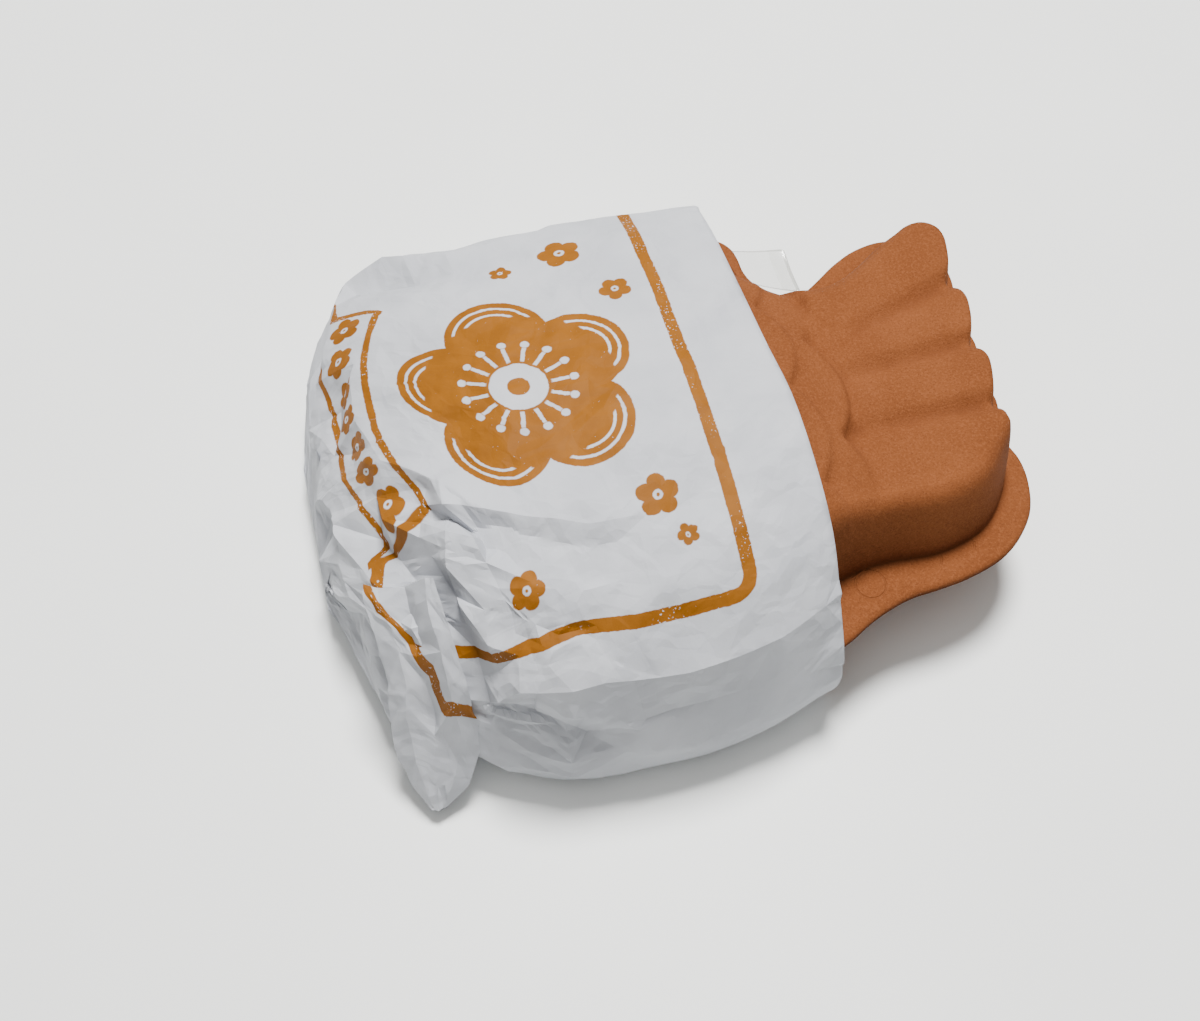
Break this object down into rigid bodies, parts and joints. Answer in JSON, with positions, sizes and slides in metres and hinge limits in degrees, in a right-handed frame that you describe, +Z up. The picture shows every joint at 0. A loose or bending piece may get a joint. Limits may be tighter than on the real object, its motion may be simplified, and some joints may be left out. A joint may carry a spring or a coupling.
{
  "type": "toy taiyaki in a paper bag",
  "caption": "Soft toy fish-shaped cake with a lobed tail and a flat rim, lying half inside a crumpled gusseted paper bag.",
  "frame": {"origin": "on the table, under the middle of the whole's bounding box", "axes": "+X along the fish from the shut end of the bag to the tail, +Y to the far side in the picture, +Z up"},
  "size_m": [0.1468, 0.1213, 0.0513],
  "materials": {
    "baked_foam": "matt, soft, powdery orange-brown",
    "printed_paper": "thin white paper with a slight sheen, printed in ochre",
    "clear_film": "clear, glossy"
  },
  "bodies": {
    "root": {"taiyaki": "baked_foam", "paper_bag": "printed_paper", "clear_film": "clear_film"}
  },
  "joints": []
}
